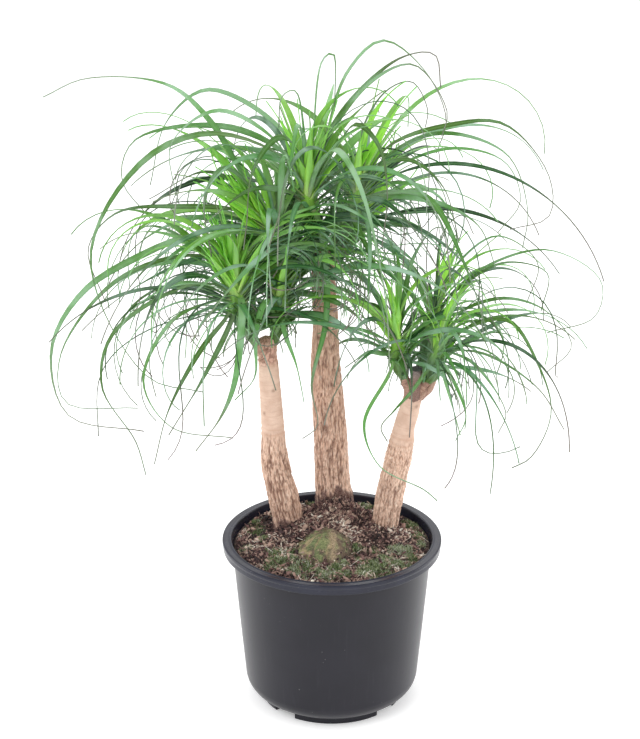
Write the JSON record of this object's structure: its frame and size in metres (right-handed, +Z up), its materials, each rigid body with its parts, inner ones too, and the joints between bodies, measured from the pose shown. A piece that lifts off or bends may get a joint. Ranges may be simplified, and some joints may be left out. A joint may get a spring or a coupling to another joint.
{
  "type": "potted ponytail palm",
  "caption": "Branched ponytail palm: rough trunks rising from a swollen mossy foot in a dark nursery pot, with arching heads of long strap leaves.",
  "frame": {"origin": "on the surface that the pot stands on, at the pot's middle, which is also under the middle of the foliage", "axes": "+Z up along the pot's axis, the side seen in the picture faces -Y, +X to its right"},
  "size_m": [0.5867, 0.5337, 0.7276],
  "materials": {
    "pot_plastic": "satin dark grey plastic with faint scuffs",
    "peat": "dark fibrous peat with moss and bark chips",
    "bark": "tan fissured bark below, smooth ringed bark above",
    "leaf": "smooth green strap leaf, fresh yellow-green at the heart"
  },
  "bodies": {
    "root": {"pot": "pot_plastic", "soil": "peat", "caudex_trunks": "bark", "leaves_middle_left": "leaf", "leaves_middle_upright": "leaf", "leaves_middle_right": "leaf", "leaves_middle_back": "leaf", "leaves_left_outer": "leaf", "leaves_left_inner": "leaf", "leaves_right_inner": "leaf", "leaves_right_outer": "leaf", "leaves_right_back": "leaf"}
  },
  "joints": []
}
